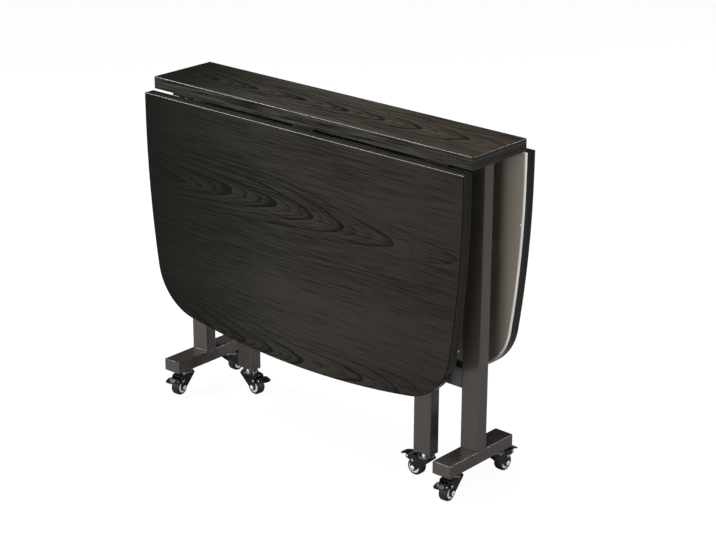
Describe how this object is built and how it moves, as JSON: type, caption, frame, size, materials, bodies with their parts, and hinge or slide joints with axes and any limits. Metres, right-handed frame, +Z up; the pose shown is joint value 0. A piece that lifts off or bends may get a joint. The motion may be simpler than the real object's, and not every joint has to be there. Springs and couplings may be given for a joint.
{
  "type": "rolling drop-leaf table",
  "caption": "Narrow rolling table with a drop leaf on each long side, swing-out gate legs that carry the raised leaves, and braked swivel casters; shown folded.",
  "frame": {"origin": "on the floor, under the middle of the whole table; the middle of the fixed top is 7.5 mm towards the front leaf", "axes": "+X along the fixed top, -Y towards the front leaf, +Z up"},
  "size_m": [0.89, 0.2661, 0.746],
  "materials": {
    "laminate": "satin dark wood-grain laminate",
    "edge_band": "satin",
    "frame_paint": "satin grey-brown powder coat",
    "hinge_steel": "satin",
    "screw_steel": "satin",
    "stem_zinc": "bright zinc plate",
    "caster_black": "satin black",
    "axle_chrome": "polished",
    "hub_plastic": "gloss",
    "tyre": "matt",
    "cap_plastic": "matt"
  },
  "bodies": {
    "frame": {"centre_plank": "laminate", "plank_edge_band": "edge_band", "plank_hinge_plates": "hinge_steel", "hinge_pins": "hinge_steel", "plank_screws": "screw_steel", "left_post": "frame_paint", "right_post": "frame_paint", "left_foot": "frame_paint", "right_foot": "frame_paint", "upper_rail": "frame_paint", "lower_rail": "frame_paint", "gate_pivots": "frame_paint", "foot_caster_stems": "stem_zinc"},
    "front_leaf": {"front_leaf": "laminate", "front_leaf_edge_band": "edge_band", "front_leaf_hinge_plates": "hinge_steel"},
    "front_gate": {"front_gate_stile": "frame_paint", "front_gate_rails": "frame_paint", "front_gate_leg": "frame_paint", "front_gate_cap": "cap_plastic", "front_gate_caster_stem": "stem_zinc"},
    "back_leaf": {"back_leaf": "laminate", "back_leaf_edge_band": "edge_band", "back_leaf_hinge_plates": "hinge_steel"},
    "back_gate": {"back_gate_stile": "frame_paint", "back_gate_rails": "frame_paint", "back_gate_leg": "frame_paint", "back_gate_cap": "cap_plastic", "back_gate_caster_stem": "stem_zinc"},
    "right_front_swivel": {"right_front_caster_fork": "caster_black", "right_front_caster_axle": "axle_chrome"},
    "right_front_wheel": {"right_front_caster_hub": "hub_plastic", "right_front_caster_tyre": "tyre"},
    "right_front_pedal": {"right_front_brake_pedal": "caster_black"},
    "left_front_swivel": {"left_front_caster_fork": "caster_black", "left_front_caster_axle": "axle_chrome"},
    "left_front_wheel": {"left_front_caster_hub": "hub_plastic", "left_front_caster_tyre": "tyre"},
    "left_front_pedal": {"left_front_brake_pedal": "caster_black"},
    "right_back_swivel": {"right_back_caster_fork": "caster_black", "right_back_caster_axle": "axle_chrome"},
    "right_back_wheel": {"right_back_caster_hub": "hub_plastic", "right_back_caster_tyre": "tyre"},
    "right_back_pedal": {"right_back_brake_pedal": "caster_black"},
    "left_back_swivel": {"left_back_caster_fork": "caster_black", "left_back_caster_axle": "axle_chrome"},
    "left_back_wheel": {"left_back_caster_hub": "hub_plastic", "left_back_caster_tyre": "tyre"},
    "left_back_pedal": {"left_back_brake_pedal": "caster_black"},
    "front_gate_swivel": {"front_gate_caster_fork": "caster_black", "front_gate_caster_axle": "axle_chrome"},
    "front_gate_wheel": {"front_gate_caster_hub": "hub_plastic", "front_gate_caster_tyre": "tyre"},
    "front_gate_pedal": {"front_gate_brake_pedal": "caster_black"},
    "back_gate_swivel": {"back_gate_caster_fork": "caster_black", "back_gate_caster_axle": "axle_chrome"},
    "back_gate_wheel": {"back_gate_caster_hub": "hub_plastic", "back_gate_caster_tyre": "tyre"},
    "back_gate_pedal": {"back_gate_brake_pedal": "caster_black"}
  },
  "joints": [
    {"name": "front_leaf_lift", "type": "hinge", "parent": "frame", "child": "front_leaf", "pos_m": [0, -0.0928, 0.7167], "axis": [-1, 0, 0], "range_deg": [0, 90]},
    {"name": "back_leaf_lift", "type": "hinge", "parent": "frame", "child": "back_leaf", "pos_m": [0, 0.0778, 0.7167], "axis": [1, 0, 0], "range_deg": [0, 90]},
    {"name": "front_gate_swing", "type": "hinge", "parent": "frame", "child": "front_gate", "pos_m": [-0.15, -0.0425, 0.466], "axis": [0, 0, -1], "range_deg": [0, 4.5]},
    {"name": "back_gate_swing", "type": "hinge", "parent": "frame", "child": "back_gate", "pos_m": [0.163, 0.0275, 0.466], "axis": [0, 0, -1], "range_deg": [0, 4.5]},
    {"name": "right_front_swivel_turn", "type": "hinge", "parent": "frame", "child": "right_front_swivel", "pos_m": [0.397, -0.0715, 0.0475], "axis": [0, 0, 1], "continuous": true},
    {"name": "right_front_wheel_roll", "type": "hinge", "parent": "right_front_swivel", "child": "right_front_wheel", "pos_m": [0.3992, -0.09439, 0.019], "axis": [0.9954, 0.0958, 0], "continuous": true},
    {"name": "right_front_pedal_press", "type": "hinge", "parent": "right_front_swivel", "child": "right_front_pedal", "pos_m": [0.3994, -0.09638, 0.035], "axis": [0.9954, 0.0958, 0], "range_deg": [0, 13]},
    {"name": "left_front_swivel_turn", "type": "hinge", "parent": "frame", "child": "left_front_swivel", "pos_m": [-0.397, -0.0715, 0.0475], "axis": [0, 0, 1], "continuous": true},
    {"name": "left_front_wheel_roll", "type": "hinge", "parent": "left_front_swivel", "child": "left_front_wheel", "pos_m": [-0.3938, -0.09428, 0.019], "axis": [0.9903, 0.1392, 0], "continuous": true},
    {"name": "left_front_pedal_press", "type": "hinge", "parent": "left_front_swivel", "child": "left_front_pedal", "pos_m": [-0.39352, -0.09626, 0.035], "axis": [0.9903, 0.1392, 0], "range_deg": [0, 13]},
    {"name": "right_back_swivel_turn", "type": "hinge", "parent": "frame", "child": "right_back_swivel", "pos_m": [0.397, 0.0715, 0.0475], "axis": [0, 0, 1], "continuous": true},
    {"name": "right_back_wheel_roll", "type": "hinge", "parent": "right_back_swivel", "child": "right_back_wheel", "pos_m": [0.3982, 0.09447, 0.019], "axis": [-0.9986, 0.0523, 0], "continuous": true},
    {"name": "right_back_pedal_press", "type": "hinge", "parent": "right_back_swivel", "child": "right_back_pedal", "pos_m": [0.39831, 0.09647, 0.035], "axis": [-0.9986, 0.0523, 0], "range_deg": [0, 13]},
    {"name": "left_back_swivel_turn", "type": "hinge", "parent": "frame", "child": "left_back_swivel", "pos_m": [-0.397, 0.0715, 0.0475], "axis": [0, 0, 1], "continuous": true},
    {"name": "left_back_wheel_roll", "type": "hinge", "parent": "left_back_swivel", "child": "left_back_wheel", "pos_m": [-0.397, 0.0945, 0.019], "axis": [-1, 0, 0], "continuous": true},
    {"name": "left_back_pedal_press", "type": "hinge", "parent": "left_back_swivel", "child": "left_back_pedal", "pos_m": [-0.397, 0.0965, 0.035], "axis": [-1, 0, 0], "range_deg": [0, 13]},
    {"name": "front_gate_swivel_turn", "type": "hinge", "parent": "front_gate", "child": "front_gate_swivel", "pos_m": [0.299, -0.0425, 0.0475], "axis": [0, 0, 1], "continuous": true},
    {"name": "front_gate_wheel_roll", "type": "hinge", "parent": "front_gate_swivel", "child": "front_gate_wheel", "pos_m": [0.276, -0.0425, 0.019], "axis": [0, -1, 0], "continuous": true},
    {"name": "front_gate_pedal_press", "type": "hinge", "parent": "front_gate_swivel", "child": "front_gate_pedal", "pos_m": [0.274, -0.0425, 0.035], "axis": [0, -1, 0], "range_deg": [0, 13]},
    {"name": "back_gate_swivel_turn", "type": "hinge", "parent": "back_gate", "child": "back_gate_swivel", "pos_m": [-0.286, 0.0275, 0.0475], "axis": [0, 0, 1], "continuous": true},
    {"name": "back_gate_wheel_roll", "type": "hinge", "parent": "back_gate_swivel", "child": "back_gate_wheel", "pos_m": [-0.26302, 0.0265, 0.019], "axis": [0.0436, 0.999, 0], "continuous": true},
    {"name": "back_gate_pedal_press", "type": "hinge", "parent": "back_gate_swivel", "child": "back_gate_pedal", "pos_m": [-0.26102, 0.02641, 0.035], "axis": [0.0436, 0.999, 0], "range_deg": [0, 13]}
  ]
}
